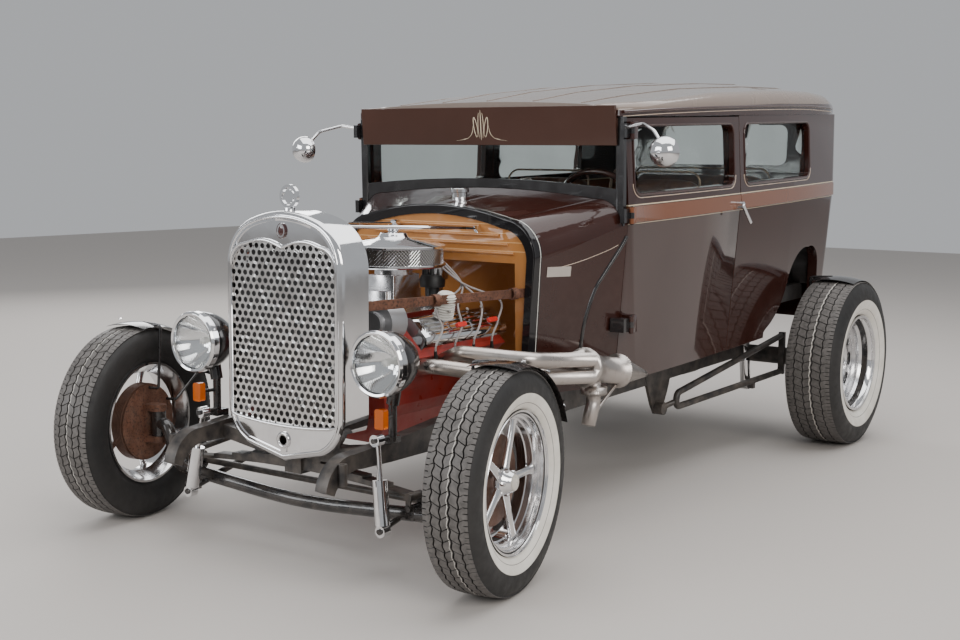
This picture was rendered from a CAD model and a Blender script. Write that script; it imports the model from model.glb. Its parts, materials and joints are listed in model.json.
# %% [markdown]
# # A channelled saloon hot rod, dressed piece by piece
#
# The car is a two-door saloon body on a narrow frame, with an open engine between a separate grille
# shell and the firewall. Its construction is fixed and arrives as the frame: every panel, wheel and joint
# is in place. This lesson gives each surface its real finish and makes the small forms that a finish
# cannot show: tread, the perforated grille, pleated leather, leads and clips.

# %% Load the frame
import json
import math

import bmesh
import bpy
import numpy as np
from mathutils import Matrix, Vector
from mathutils.bvhtree import BVHTree

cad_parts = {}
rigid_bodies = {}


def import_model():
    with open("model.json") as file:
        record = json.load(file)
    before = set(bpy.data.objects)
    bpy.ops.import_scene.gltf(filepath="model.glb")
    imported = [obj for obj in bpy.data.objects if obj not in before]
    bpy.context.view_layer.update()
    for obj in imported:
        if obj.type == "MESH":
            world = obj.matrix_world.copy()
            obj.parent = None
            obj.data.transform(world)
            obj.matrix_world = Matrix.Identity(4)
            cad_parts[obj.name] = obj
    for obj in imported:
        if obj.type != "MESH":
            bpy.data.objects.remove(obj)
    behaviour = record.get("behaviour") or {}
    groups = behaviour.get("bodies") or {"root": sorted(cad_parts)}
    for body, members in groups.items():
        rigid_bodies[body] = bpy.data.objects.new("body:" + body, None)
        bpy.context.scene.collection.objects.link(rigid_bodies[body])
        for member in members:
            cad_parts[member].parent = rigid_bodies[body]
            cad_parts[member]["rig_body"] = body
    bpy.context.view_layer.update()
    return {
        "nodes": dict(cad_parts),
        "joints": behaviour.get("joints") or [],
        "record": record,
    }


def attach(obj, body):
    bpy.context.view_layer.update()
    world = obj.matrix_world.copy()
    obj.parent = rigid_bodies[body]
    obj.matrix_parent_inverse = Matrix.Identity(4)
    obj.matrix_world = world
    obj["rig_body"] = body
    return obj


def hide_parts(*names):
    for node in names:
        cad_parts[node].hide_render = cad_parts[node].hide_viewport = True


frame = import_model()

# %% [markdown]
# ## Measures shared by every piece
#
# Distances back are counted from the front axle, as a chassis builder counts them. The axle's own place
# is read from the joints of the frame, so nothing here has to be fitted by eye. The body leans forward by
# a small rake about a point by the cowl, and the front wheels are parked turned to the left.

# %% Places read from the joints
joint = {j["name"]: j for j in frame["joints"]}
KINGPIN = np.array(joint["steer_left"]["pos_m"])
AXLE_Y = KINGPIN[1]
REAR_HUB = np.array(joint["rear_wheel_left_spin"]["pos_m"])
FRONT_HUB = np.array(joint["front_wheel_left_spin"]["pos_m"])
SPIN = np.array(joint["front_wheel_left_spin"]["axis"])
STEER_REST = math.atan2(SPIN[1], SPIN[0])
TRACK_REACH = float(np.linalg.norm((FRONT_HUB - KINGPIN)[:2]))
RAKE = math.radians(1.9)
RAKE_AT = np.array([0.0, 1.030, 0.480])
SIDES = (("left", 1), ("right", -1))
print("wheelbase", round(REAR_HUB[1] - AXLE_Y, 3), "steering at rest", round(math.degrees(STEER_REST), 1))


def placed(points):
    """Moves points counted from the front axle into the car's own frame: y + y of the axle."""
    return np.asarray(points, float) + [0.0, AXLE_Y, 0.0]


def leaned(points, angle):
    """Turns points about the x axis: (x, y c - z s, y s + z c)."""
    x, y, z = np.moveaxis(np.asarray(points, float), -1, 0)
    c, s = math.cos(angle), math.sin(angle)
    return np.stack([x, y * c - z * s, y * s + z * c], -1)


def raked(points):
    """Leans body points about the cowl, P' = C + R(P - C), then places them."""
    return placed(leaned(np.asarray(points, float) - RAKE_AT, RAKE) + RAKE_AT)


def mirrored(points):
    """The other side of the car: x changes its sign."""
    return np.asarray(points, float) * [-1.0, 1.0, 1.0]


def on_wheel(points, side, front):
    """Takes points about a wheel's own centre, outer face towards +x, to that wheel on the car."""
    p = np.asarray(points, float) * [side, 1.0, 1.0]
    if not front:
        return p + REAR_HUB * [side, 1.0, 1.0]
    p = p + [side * TRACK_REACH, 0.0, 0.0]
    c, s = math.cos(STEER_REST), math.sin(STEER_REST)
    turned = np.stack([p[..., 0] * c - p[..., 1] * s, p[..., 0] * s + p[..., 1] * c, p[..., 2]], -1)
    return turned + KINGPIN * [side, 1.0, 1.0]


# %% [markdown]
# ## Surfaces from arrays
#
# A wheel, a pipe and a lamp are all a profile carried round or along a line. Each shape below is one
# formula on a grid of two parameters, worked out for all its points at once, so a change of a radius or
# of the number of steps changes the whole surface and never one point of it.

# %% Grids and turned forms
def unit(v):
    """A vector, or rows of vectors, at length one."""
    v = np.asarray(v, float)
    return v / np.maximum(np.linalg.norm(v, axis=-1, keepdims=True), 1e-12)


def grid_faces(rows, cols, close_rows=False, close_cols=False):
    """Four-sided faces of a grid whose point (i, j) has the number i * cols + j."""
    i = np.arange(rows if close_rows else rows - 1)
    j = np.arange(cols if close_cols else cols - 1)
    i, j = np.meshgrid(i, j, indexing="ij")
    a, b = i, (i + 1) % rows
    c, d = j, (j + 1) % cols
    return np.stack([a * cols + c, b * cols + c, b * cols + d, a * cols + d], -1).reshape(-1, 4)


def lathe(profile, steps=48, origin=(0, 0, 0), axis=(1, 0, 0)):
    """Turns a profile of (along, radius) about an axis: P = O + a w + r (cos t u + sin t v)."""
    along, radius = np.asarray(profile, float).T
    w = unit(axis)
    u = unit(np.cross(w, [0.21, 0.34, 0.92]))
    v = np.cross(w, u)
    t = np.linspace(0, 2 * math.pi, steps, endpoint=False)
    ring = np.cos(t)[:, None] * u + np.sin(t)[:, None] * v
    points = np.asarray(origin, float) + along[:, None, None] * w + radius[:, None, None] * ring
    return points.reshape(-1, 3), grid_faces(len(along), steps, False, True)


print("faces of a grid of 3 by 4 points, closed one way:", len(grid_faces(3, 4, False, True)))


# %% Curves, tubes and strips
def smooth_path(points, steps=10):
    """A curve through the points: one cubic for each span b to c, with a before it and d behind it.

    2 P(t) = 2 b + (c - a) t + (2 a - 5 b + 4 c - d) t^2 + (3 b - 3 c + d - a) t^3
    """
    p = np.asarray(points, float)
    q = np.concatenate([[2 * p[0] - p[1]], p, [2 * p[-1] - p[-2]]])
    t = np.linspace(0, 1, steps, endpoint=False)[:, None]
    a, b, c, d = (q[k:len(p) - 1 + k][:, None] for k in range(4))
    span = 0.5 * (2 * b + (c - a) * t + (2 * a - 5 * b + 4 * c - d) * t ** 2 + (3 * b - 3 * c + d - a) * t ** 3)
    return np.concatenate([span.reshape(-1, p.shape[1]), p[-1:]])


def tube(path, radius, steps=12, up=(0.05, 0.02, 1.0), close=False):
    """Carries a circle along a path: P = C(s) + r (cos t N + sin t B), with N across the tangent and up."""
    path = np.asarray(path, float)
    r = np.broadcast_to(np.asarray(radius, float), (len(path),)).copy()
    if not close:
        path = np.concatenate([path[:1], path, path[-1:]])
        r = np.concatenate([[0.0], r, [0.0]])
        tangent = unit(np.gradient(path[1:-1], axis=0))
        tangent = np.concatenate([tangent[:1], tangent, tangent[-1:]])
    else:
        tangent = unit(np.roll(path, -1, 0) - np.roll(path, 1, 0))
    n = unit(np.cross(tangent, up))
    b = np.cross(tangent, n)
    t = np.linspace(0, 2 * math.pi, steps, endpoint=False)
    ring = np.cos(t)[None, :, None] * n[:, None] + np.sin(t)[None, :, None] * b[:, None]
    points = path[:, None] + r[:, None, None] * ring
    return points.reshape(-1, 3), grid_faces(len(path), steps, close, True)


def strip(path, across, width, thick, up=(0, 0, 1)):
    """Carries a flat bar along a path: a rectangle, wide along `across` and thick along `up`."""
    path = np.asarray(path, float)
    across = np.broadcast_to(np.asarray(across, float), path.shape)
    up = np.broadcast_to(np.asarray(up, float), path.shape)
    corner = np.array([(-1, -1), (1, -1), (1, 1), (-1, 1)]) / 2
    sideways = corner[None, :, :1] * width * across[:, None]
    upwards = corner[None, :, 1:] * thick * up[:, None]
    rows = path[:, None] + sideways + upwards
    ends = np.stack([np.repeat(path[:1], 4, 0), np.repeat(path[-1:], 4, 0)])
    points = np.concatenate([ends[:1], rows, ends[1:]])
    return points.reshape(-1, 3), grid_faces(len(points), 4, False, True)


print("points of a short tube:", len(tube([(0, 0, 0), (0, 1, 0), (0, 2, 0)], 0.01, 8)[0]))


# %% Plates and outlines
def slab(lower, upper):
    """A thin body between two closed lines of as many points: its points, its side faces and its two caps."""
    n = len(lower)
    caps = np.array([np.arange(n)[::-1], np.arange(n) + n])
    return np.concatenate([lower, upper]), grid_faces(2, n, False, True), caps


def plate(outline, low, high):
    """A flat plate: an outline in x and y, as deep as from low to high along z."""
    return slab(*(np.column_stack([outline, np.full(len(outline), depth)]) for depth in (low, high)))


def arc(centre, radius, start, end, steps):
    """Points on an arc in a plane: C + r (cos t, sin t), with the angles in degrees."""
    t = np.radians(np.linspace(start, end, steps))
    return np.stack([centre[0] + radius * np.cos(t), centre[1] + radius * np.sin(t)], -1)


def rounded_rect(width, height, radius, steps, centre=(0, 0)):
    """A rectangle's outline with quarter circles for corners."""
    x, y = width / 2 - radius, height / 2 - radius
    corners = [((x, y), 0), ((-x, y), 90), ((-x, -y), 180), ((x, -y), 270)]
    points = [arc(c, radius, a, a + 90, steps) for c, a in corners]
    return np.concatenate(points) + centre


print("points of a rounded rectangle:", len(rounded_rect(2.0, 1.0, 0.1, 6)))

# %% [markdown]
# ## From arrays to pieces
#
# A mesh takes its points and faces from arrays in one call each. Seams and poles are merged and the faces
# turned outwards before anything else happens to the piece. Each piece is then told which body of the
# frame carries it, so that it follows a door or a wheel, and which solids of the frame it stands for.

# %% Joining parts and writing a mesh
def spread(*parts):
    """Joins parts, each (points, faces...), into one list of points and one list of face arrays."""
    points, faces, start = [], [], 0
    for part in parts:
        points.append(np.asarray(part[0], float))
        faces += [np.asarray(f) + start for f in part[1:]]
        start += len(part[0])
    return np.concatenate(points), faces


def moved(change, part):
    """A part with its points passed through a function, and its faces as they were."""
    return (change(part[0]), *part[1:])


def new_mesh(name, parts, clean=True):
    """Writes joined parts into a mesh with foreach_set, merges doubles and turns the faces outwards."""
    points, faces = spread(*parts)
    mesh = bpy.data.meshes.new(name)
    sizes = np.concatenate([np.full(len(f), f.shape[1]) for f in faces])
    loops = np.concatenate([f.ravel() for f in faces])
    mesh.vertices.add(len(points))
    mesh.vertices.foreach_set("co", points.astype(np.float32).ravel())
    mesh.loops.add(len(loops))
    mesh.loops.foreach_set("vertex_index", loops.astype(np.int32))
    mesh.polygons.add(len(sizes))
    mesh.polygons.foreach_set("loop_start", (np.cumsum(sizes) - sizes).astype(np.int32))
    mesh.update(calc_edges=True)
    if clean:
        work = bmesh.new()
        work.from_mesh(mesh)
        bmesh.ops.remove_doubles(work, verts=work.verts, dist=1e-6)
        bmesh.ops.dissolve_degenerate(work, edges=work.edges, dist=1e-7)
        bmesh.ops.recalc_face_normals(work, faces=work.faces)
        work.to_mesh(mesh)
        work.free()
    return mesh


print("joined:", len(spread(lathe([(0, 0), (0, 1)]), lathe([(0, 0), (1, 1)]))[0]), "points")


# %% Pieces and their bodies
def shade(mesh, sharp_deg=35):
    """Smooth shading with edges over the given angle kept sharp."""
    mesh.polygons.foreach_set("use_smooth", np.ones(len(mesh.polygons), bool))
    mesh.set_sharp_from_angle(angle=math.radians(sharp_deg))


def piece(name, parts, look, body, slot, stands_for=(), bevel=0.0, sharp_deg=35):
    """A finished piece: its mesh, its finish, the body that carries it and the nodes it stands for."""
    mesh = new_mesh(name, parts)
    mesh.materials.append(look)
    shade(mesh, sharp_deg)
    obj = bpy.data.objects.new(name, mesh)
    bpy.context.scene.collection.objects.link(obj)
    if bevel:
        soften(obj, bevel)
    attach(obj, body)
    if stands_for:
        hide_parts(*stands_for)
    return obj


def soften(obj, width, segments=2, angle_deg=32):
    """Breaks the sharp edges of a piece with a small bevel."""
    bevel = obj.modifiers.new("soft_edges", "BEVEL")
    bevel.width = width
    bevel.segments = segments
    bevel.limit_method = "ANGLE"
    bevel.angle_limit = math.radians(angle_deg)
    bevel.use_clamp_overlap = True


SLOT_OF = {s["node"]: s["material_slot"] for s in frame["record"]["subparts"]}
print("slots:", sorted(set(SLOT_OF.values())))


# %% Pieces of the chassis, and nodes with their own form
def fixed(name, parts, look, like, **more):
    """A piece on the chassis in the slot of another node, its parts counted from the front axle."""
    return piece(name, [moved(placed, part) for part in parts], look, "chassis", SLOT_OF[like], **more)


def dress(node, look, bevel=0.0, sharp_deg=30, flat_deg=1.0):
    """A node's own form with its loose triangles merged, flat areas joined, edges softened, and a finish."""
    source = frame["nodes"][node]
    mesh = source.data.copy()
    mesh.name = node + "_skin"
    work = bmesh.new()
    work.from_mesh(mesh)
    bmesh.ops.remove_doubles(work, verts=work.verts, dist=2e-5)
    if bevel:
        bmesh.ops.dissolve_limit(work, angle_limit=math.radians(flat_deg), verts=work.verts, edges=work.edges)
    work.to_mesh(mesh)
    work.free()
    mesh.materials.clear()
    mesh.materials.append(look)
    shade(mesh, sharp_deg)
    obj = bpy.data.objects.new(node + "_finished", mesh)
    bpy.context.scene.collection.objects.link(obj)
    if bevel:
        soften(obj, bevel)
    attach(obj, source["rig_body"])
    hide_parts(node)
    return obj


# %% [markdown]
# ## Camera, floor and light
#
# The camera stands at chest height, a few steps off the left front corner, with a lens a little longer than
# normal. Its place was worked out from the wheels' ellipses. The floor is plain and pale, and large soft
# lamps give long reflections along the roof and the fenders.

# %% The camera's place
CAMERA_AT = np.array([2.8611, -3.1069, 1.2397])
CAMERA_YAW = 0.6105
CAMERA_PITCH = 0.1204
CAMERA_ROLL = 0.0088
FOCAL_PIXELS = 1357.86
FRAME_PIXELS = 960.0
SENSOR_MM = 36.0

cy, sy = math.cos(CAMERA_YAW), math.sin(CAMERA_YAW)
cp, sp = math.cos(CAMERA_PITCH), math.sin(CAMERA_PITCH)
forward = Vector((-sy * cp, cy * cp, -sp))
level_right = Vector((cy, sy, 0.0))
level_up = level_right.cross(forward)
right = math.cos(CAMERA_ROLL) * level_right + math.sin(CAMERA_ROLL) * level_up
up = right.cross(forward)
camera_data = bpy.data.cameras.new("photographer")
camera_data.sensor_width = SENSOR_MM
camera_data.lens = SENSOR_MM * FOCAL_PIXELS / FRAME_PIXELS
camera = bpy.data.objects.new("photographer", camera_data)
bpy.context.scene.collection.objects.link(camera)
turn = Matrix((right, up, -forward)).transposed().to_4x4()
camera.matrix_world = Matrix.Translation(placed(CAMERA_AT)) @ turn
bpy.context.scene.camera = camera
print("lens", round(camera_data.lens, 1), "mm")

# %% Floor and soft lamps
FLOOR_HALF, FLOOR_COLOUR, FLOOR_ROUGH = 14.0, (0.50, 0.465, 0.435), 0.8
AIR_COLOUR, AIR_STRENGTH = (0.82, 0.84, 0.87), 0.55
LAMPS = (
    # name, place, aim, size, watts, tint
    ("sky_bank", (0.4, 0.6, 5.2), (0, 0.2, 0.6), (6.5, 7.5), 380, (1.0, 1.0, 1.0)),
    ("key_bank", (6.2, -3.4, 3.6), (0, -0.3, 0.7), (4.2, 3.0), 260, (1.0, 0.97, 0.93)),
    ("front_bank", (-2.6, -6.4, 2.8), (0, -1.0, 0.7), (4.5, 2.6), 190, (0.96, 0.98, 1.0)),
    ("rim_bank", (-6.0, 3.2, 3.4), (0, 0.4, 0.8), (4.0, 2.6), 160, (1.0, 1.0, 1.0)),
)
floor_points = np.array([(-1, -1, 0), (1, -1, 0), (1, 1, 0), (-1, 1, 0)]) * [FLOOR_HALF, FLOOR_HALF, 1.0]
floor_mesh = new_mesh("studio_floor", [(floor_points, np.array([[0, 1, 2, 3]]))], clean=False)
floor_look = bpy.data.materials.new("pale_floor")
floor_look.use_nodes = True
floor_shader = floor_look.node_tree.nodes["Principled BSDF"]
floor_shader.inputs["Base Color"].default_value = (*FLOOR_COLOUR, 1)
floor_shader.inputs["Roughness"].default_value = FLOOR_ROUGH
floor_mesh.materials.append(floor_look)
floor = bpy.data.objects.new("studio_floor", floor_mesh)
bpy.context.scene.collection.objects.link(floor)

for name, at, aim, size, watts, tint in LAMPS:
    data = bpy.data.lights.new(name, "AREA")
    data.shape = "RECTANGLE"
    data.size, data.size_y = size
    data.energy = watts
    data.color = tint
    lamp = bpy.data.objects.new(name, data)
    lamp.location = at
    lamp.rotation_euler = (Vector(aim) - Vector(at)).to_track_quat("-Z", "Y").to_euler()
    bpy.context.scene.collection.objects.link(lamp)
world = bpy.data.worlds.new("studio_air")
world.use_nodes = True
world.node_tree.nodes["Background"].inputs["Color"].default_value = (*AIR_COLOUR, 1)
world.node_tree.nodes["Background"].inputs["Strength"].default_value = AIR_STRENGTH
bpy.context.scene.world = world
print("lamps:", len(bpy.data.lights))

# %% [markdown]
# ## Finishes
#
# Every finish is the same recipe with its own numbers. A slow noise moves the colour a little, as dust
# and polish do, a second one moves the roughness, and a fine one lifts the surface where it is cast, grained
# or rusty. Road dust gathers low on the car, so it is mixed in by height above the ground. All patterns
# read the piece's own coordinates, and so they stay on it when a door or a wheel turns.

# %% A recipe for a finish
SPAN = (0.3, 0.7)                     # a noise keeps mostly between these values
DUST_COLOUR, DUST_TOP = (0.34, 0.28, 0.23), 0.75
PATCH_EDGE = 0.06


class Recipe:
    """One material's nodes, added and joined by short calls."""

    def __init__(self, name):
        self.mat = bpy.data.materials.new(name)
        self.mat.use_nodes = True
        self.tree = self.mat.node_tree
        self.shader = self.tree.nodes["Principled BSDF"]
        self.place = self.add("ShaderNodeTexCoord").outputs["Object"]

    def add(self, kind, **values):
        """A node with its settings."""
        node = self.tree.nodes.new(kind)
        for key, value in values.items():
            setattr(node, key, value)
        return node

    def join(self, source, target):
        """A link from a socket to a socket."""
        self.tree.links.new(source, target)

    def noise(self, scale, detail=4.0, rough=0.55):
        """A noise between 0 and 1 on the piece's coordinates."""
        node = self.add("ShaderNodeTexNoise")
        node.inputs["Scale"].default_value = scale
        node.inputs["Detail"].default_value = detail
        node.inputs["Roughness"].default_value = rough
        self.join(self.place, node.inputs["Vector"])
        return node.outputs["Fac"]

    def ramp(self, source, low, high, out_low=0.0, out_high=1.0):
        """A straight step of a value from one range to another, held at its ends."""
        node = self.add("ShaderNodeMapRange")
        node.inputs["From Min"].default_value = low
        node.inputs["From Max"].default_value = high
        node.inputs["To Min"].default_value = out_low
        node.inputs["To Max"].default_value = out_high
        self.join(source, node.inputs["Value"])
        return node.outputs["Result"]

    def maths(self, operation, a, b=None):
        """A product or difference of two values, each a socket or a number, or a change of one value."""
        node = self.add("ShaderNodeMath", operation=operation)
        for socket, value in zip(node.inputs, (a, b)):
            if value is None:
                continue
            if isinstance(value, (int, float)):
                socket.default_value = value
            else:
                self.join(value, socket)
        return node.outputs[0]

    def blend(self, share, a, b):
        """A mix of two colours, each a socket or three numbers, by a share."""
        node = self.add("ShaderNodeMix", data_type="RGBA")
        self.join(share, node.inputs["Factor"])
        for key, value in (("A", a), ("B", b)):
            socket = [s for s in node.inputs if s.name == key and s.type == "RGBA"][0]
            if isinstance(value, (tuple, list)):
                socket.default_value = (*value, 1)
            else:
                self.join(value, socket)
        return [s for s in node.outputs if s.type == "RGBA"][0]

    def xyz(self):
        """The piece's coordinates as x, y, z sockets; z is the height above the ground."""
        node = self.add("ShaderNodeSeparateXYZ")
        self.join(self.place, node.inputs["Vector"])
        return node.outputs

    def level(self):
        """Coordinates of the body before its rake, as x, y, z sockets counted in the car's frame."""
        centre = Vector(placed(RAKE_AT))
        shift = self.add("ShaderNodeMapping", vector_type="POINT")
        shift.inputs["Location"].default_value = -centre
        self.join(self.place, shift.inputs["Vector"])
        turn_back = self.add("ShaderNodeMapping", vector_type="POINT")
        turn_back.inputs["Rotation"].default_value = (-RAKE, 0, 0)
        turn_back.inputs["Location"].default_value = centre
        self.join(shift.outputs["Vector"], turn_back.inputs["Vector"])
        node = self.add("ShaderNodeSeparateXYZ")
        self.join(turn_back.outputs["Vector"], node.inputs["Vector"])
        return node.outputs

    def between(self, value, low, high, soft=0.0006):
        """One where a value lies between two limits, with a thin soft edge."""
        rising = self.ramp(value, low - soft, low + soft)
        falling = self.ramp(value, high - soft, high + soft, 1.0, 0.0)
        return self.maths("MULTIPLY", rising, falling)

    def bump(self, heightmap, strength, depth):
        """Lifts the surface by a value, in metres at most depth."""
        node = self.add("ShaderNodeBump")
        node.inputs["Strength"].default_value = strength
        node.inputs["Distance"].default_value = depth
        self.join(heightmap, node.inputs["Height"])
        self.join(node.outputs["Normal"], self.shader.inputs["Normal"])

    def set(self, **values):
        """Fixed numbers on the shader's own sockets."""
        for key, value in values.items():
            socket = self.shader.inputs[key.replace("_", " ")]
            socket.default_value = (*value, 1) if isinstance(value, tuple) else value


print("recipe's calls:", [call for call in vars(Recipe) if not call.startswith("_")])


# %% The finish that most pieces wear
def finish(name, colour, rough, metallic=0.0, vary=0.12, grain=6.0, rough_vary=0.08, dust=0.25,
           bump=None, worn=None, **constant):
    """A painted, plated, cast or moulded finish; bump is (scale, strength, depth), worn (colour, share)."""
    r = Recipe(name)
    slow = r.noise(grain)
    dark = tuple(c * (1 - vary) for c in colour)
    light = tuple(min(1.0, c * (1 + vary)) for c in colour)
    tone = r.blend(r.ramp(slow, *SPAN), dark, light)
    if worn:
        worn_colour, share = worn
        patch = r.noise(grain * 7.3, detail=8.0, rough=0.7)
        tone = r.blend(r.ramp(patch, 1 - share - PATCH_EDGE, 1 - share + PATCH_EDGE), tone, worn_colour)
    if dust:
        low = r.ramp(r.xyz()[2], 0.0, DUST_TOP, 1.0, 0.0)
        speck = r.ramp(r.noise(23.0, detail=7.0), 0.35, 0.75)
        tone = r.blend(r.maths("MULTIPLY", r.maths("MULTIPLY", low, speck), dust), tone, DUST_COLOUR)
    r.join(tone, r.shader.inputs["Base Color"])
    spots = r.noise(grain * 3.1, detail=6.0)
    r.join(r.ramp(spots, *SPAN, max(0.02, rough - rough_vary), rough + rough_vary),
           r.shader.inputs["Roughness"])
    if bump:
        scale, strength, depth = bump
        r.bump(r.noise(scale, detail=5.0), strength, depth)
    r.set(Metallic=metallic, **constant)
    return r.mat


# %% The car's plain finishes
chrome = finish("chrome_plate", (0.80, 0.80, 0.81), 0.07, 1.0, vary=0.05, rough_vary=0.04, dust=0.3)
alloy = finish("alloy_polished", (0.74, 0.74, 0.75), 0.22, 1.0, vary=0.06, rough_vary=0.08,
               bump=(420, 0.06, 0.0002))
cast = finish("alloy_cast", (0.46, 0.46, 0.47), 0.5, 0.9, vary=0.12, bump=(520, 0.35, 0.0006))
black = finish("black_enamel", (0.014, 0.013, 0.014), 0.2, vary=0.2, rough_vary=0.08, Coat_Weight=0.5,
               bump=(35, 0.05, 0.0006))
chassis_black = finish("black_chassis", (0.022, 0.02, 0.02), 0.42, vary=0.25, rough_vary=0.12, dust=0.5,
                       worn=((0.10, 0.06, 0.04), 0.30), bump=(90, 0.2, 0.0006))
rubber = finish("rubber_trim", (0.012, 0.012, 0.012), 0.6, vary=0.12, dust=0.12, bump=(200, 0.2, 0.0004))
engine_red = finish("engine_red", (0.30, 0.022, 0.014), 0.38, vary=0.2, rough_vary=0.12, Coat_Weight=0.25,
                    worn=((0.06, 0.03, 0.02), 0.32), bump=(240, 0.3, 0.0008))
rust = finish("rusted_iron", (0.17, 0.075, 0.045), 0.62, 0.35, vary=0.35, grain=18.0,
              worn=((0.06, 0.03, 0.022), 0.45), bump=(300, 0.5, 0.001))
steel = finish("steel_bare", (0.46, 0.44, 0.42), 0.34, 1.0, vary=0.14, rough_vary=0.12,
               bump=(300, 0.15, 0.0004))
red_plastic = finish("red_plastic", (0.62, 0.03, 0.02), 0.3, vary=0.08)
black_plastic = finish("black_plastic", (0.018, 0.018, 0.018), 0.45, vary=0.2, bump=(400, 0.2, 0.0003))
print("finishes so far:", len(bpy.data.materials))

# %% [markdown]
# ## The body's paint
#
# The lacquer is a dark maroon under a clear coat. Round the waist runs a broad copper band with thin cream
# lines. On the real car these are masked off and sprayed, or pulled with a long brush, and they follow the
# rake of the body. So the band is drawn here in the paint itself, between two heights of the unraked body.

# %% Lacquer with its waist band
CREAM = (0.72, 0.60, 0.42)
COPPER = (0.185, 0.066, 0.030)
MAROON = (0.036, 0.0118, 0.0088)
LACQUER_DUST, LACQUER_DUST_LOW, LACQUER_DUST_TOP = (0.36, 0.29, 0.24), 0.35, 0.95
BAND_LOW, BAND_HIGH = 1.0115, 1.0685
EAVES, EAVES_FROM, EAVES_TO, EAVES_RISE = 1.399, 1.02, 2.32, 0.024
LIP_END, LIP_LINE = 0.7440, (0.7392, 0.7410)


def lacquer(name, colour, lines=(), bands=(), rough=0.13, vary=0.14, upper=None, dust=0.06):
    """A clear-coated colour with lines and bands at unraked heights, and a second colour above the eaves.

    The eaves rise towards the rear: their height is h(y) = h0 + a (y - y0), held from y1 on.
    """
    r = Recipe(name)
    slow = r.noise(2.6, detail=5.0)
    tone = r.blend(r.ramp(slow, *SPAN), tuple(c * (1 - vary) for c in colour),
                   tuple(c * (1 + vary) for c in colour))
    _, y, z = r.level()
    if upper:
        rise = r.ramp(y, AXLE_Y + EAVES_FROM, AXLE_Y + EAVES_TO, 0.0, EAVES_RISE)
        over = r.ramp(r.maths("SUBTRACT", z, rise), EAVES - 0.0006, EAVES + 0.0006)
        tone = r.blend(over, tone, upper)
    for low, high, band in bands:
        tone = r.blend(r.between(z, low, high), tone, band)
    for middle, half, line in lines:
        tone = r.blend(r.between(z, middle - half, middle + half, 0.0004), tone, line)
    low = r.ramp(r.xyz()[2], LACQUER_DUST_LOW, LACQUER_DUST_TOP, 1.0, 0.0)
    speck = r.ramp(r.noise(31.0, detail=8.0), 0.4, 0.8)
    dirt = r.maths("MULTIPLY", r.maths("MULTIPLY", low, speck), dust)
    tone = r.blend(dirt, tone, LACQUER_DUST)
    r.join(tone, r.shader.inputs["Base Color"])
    r.join(r.ramp(r.noise(9.0, detail=6.0), *SPAN, rough - 0.04, rough + 0.07), r.shader.inputs["Roughness"])
    r.bump(r.noise(46.0, detail=2.0), 0.03, 0.0006)
    r.set(Coat_Weight=0.9, Coat_Roughness=0.04, Metallic=0.0, Specular_IOR_Level=0.12)
    return r


def lip_lacquer():
    """The cowl's maroon, with its front lip black and a white line along the lip's rear edge."""
    r = lacquer("cowl_lacquer", MAROON)
    tone = r.shader.inputs["Base Color"].links[0].from_socket
    y = r.level()[1]
    lip = r.ramp(y, AXLE_Y + LIP_END, AXLE_Y + LIP_END + 0.0006, 1.0, 0.0)
    tone = r.blend(lip, tone, (0.012, 0.011, 0.012))
    line = r.between(y, AXLE_Y + LIP_LINE[0], AXLE_Y + LIP_LINE[1], 0.0002)
    tone = r.blend(line, tone, (0.80, 0.78, 0.72))
    r.join(tone, r.shader.inputs["Base Color"])
    return r.mat


# each line: its middle height, half its width, its colour
waist_lines = ((BAND_LOW - 0.0035, 0.0010, CREAM), (BAND_HIGH + 0.0042, 0.0019, CREAM))
rib_lines = tuple((z + 0.0075, 0.0013, (0.70, 0.42, 0.20)) for z in (0.922, 0.952, 0.982, 1.012))
body_paint = lacquer("body_lacquer", MAROON, waist_lines, ((BAND_LOW, BAND_HIGH, COPPER),)).mat
cowl_paint = lip_lacquer()
roof_paint = lacquer("roof_lacquer", MAROON, rough=0.24, upper=(0.235, 0.185, 0.155)).mat
visor_paint = lacquer("visor_lacquer", (0.060, 0.026, 0.018), rough=0.16).mat
dash_paint = lacquer("dash_lacquer", (0.05, 0.017, 0.012), rough=0.2).mat
firewall_paint = lacquer("firewall_lacquer", (0.46, 0.195, 0.058), rib_lines, rough=0.26, vary=0.10,
                         dust=0.05).mat
print("band from", BAND_LOW, "to", BAND_HIGH, "m of body height")

# %% [markdown]
# ## Clear and coloured glass
#
# Glass is thin here, so it lets light straight through and only its surface shows. The lamps' covers are
# clear, the small front markers amber and the tail lamps red.

# %% Glass
def glass(name, colour, rough=0.02, ior=1.45, share=1.0):
    """A transparent finish with a slightly uneven surface and a film of dust."""
    r = Recipe(name)
    r.set(Transmission_Weight=share, IOR=ior)
    tone = r.blend(r.ramp(r.noise(3.0), *SPAN), colour, tuple(c * 0.93 for c in colour))
    r.join(tone, r.shader.inputs["Base Color"])
    r.join(r.ramp(r.noise(14.0, detail=7.0), 0.4, 0.75, rough, rough + 0.05), r.shader.inputs["Roughness"])
    return r.mat


window_glass = glass("window_glass", (0.86, 0.90, 0.88), ior=1.12)
amber_glass = glass("amber_lens", (0.85, 0.20, 0.012), rough=0.12, share=0.55)
red_glass = glass("red_lens", (0.62, 0.012, 0.008), rough=0.12, share=0.5)
print("glass:", window_glass.name, amber_glass.name, red_glass.name)

# %% [markdown]
# ## Headers
#
# The exhaust headers are satin tube. Heat leaves a straw tint where the pipes leave the ports, and it fades
# along the pipe, so the tint follows the distance from the engine's middle line. Brown specks of rust lie
# over it.

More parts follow.
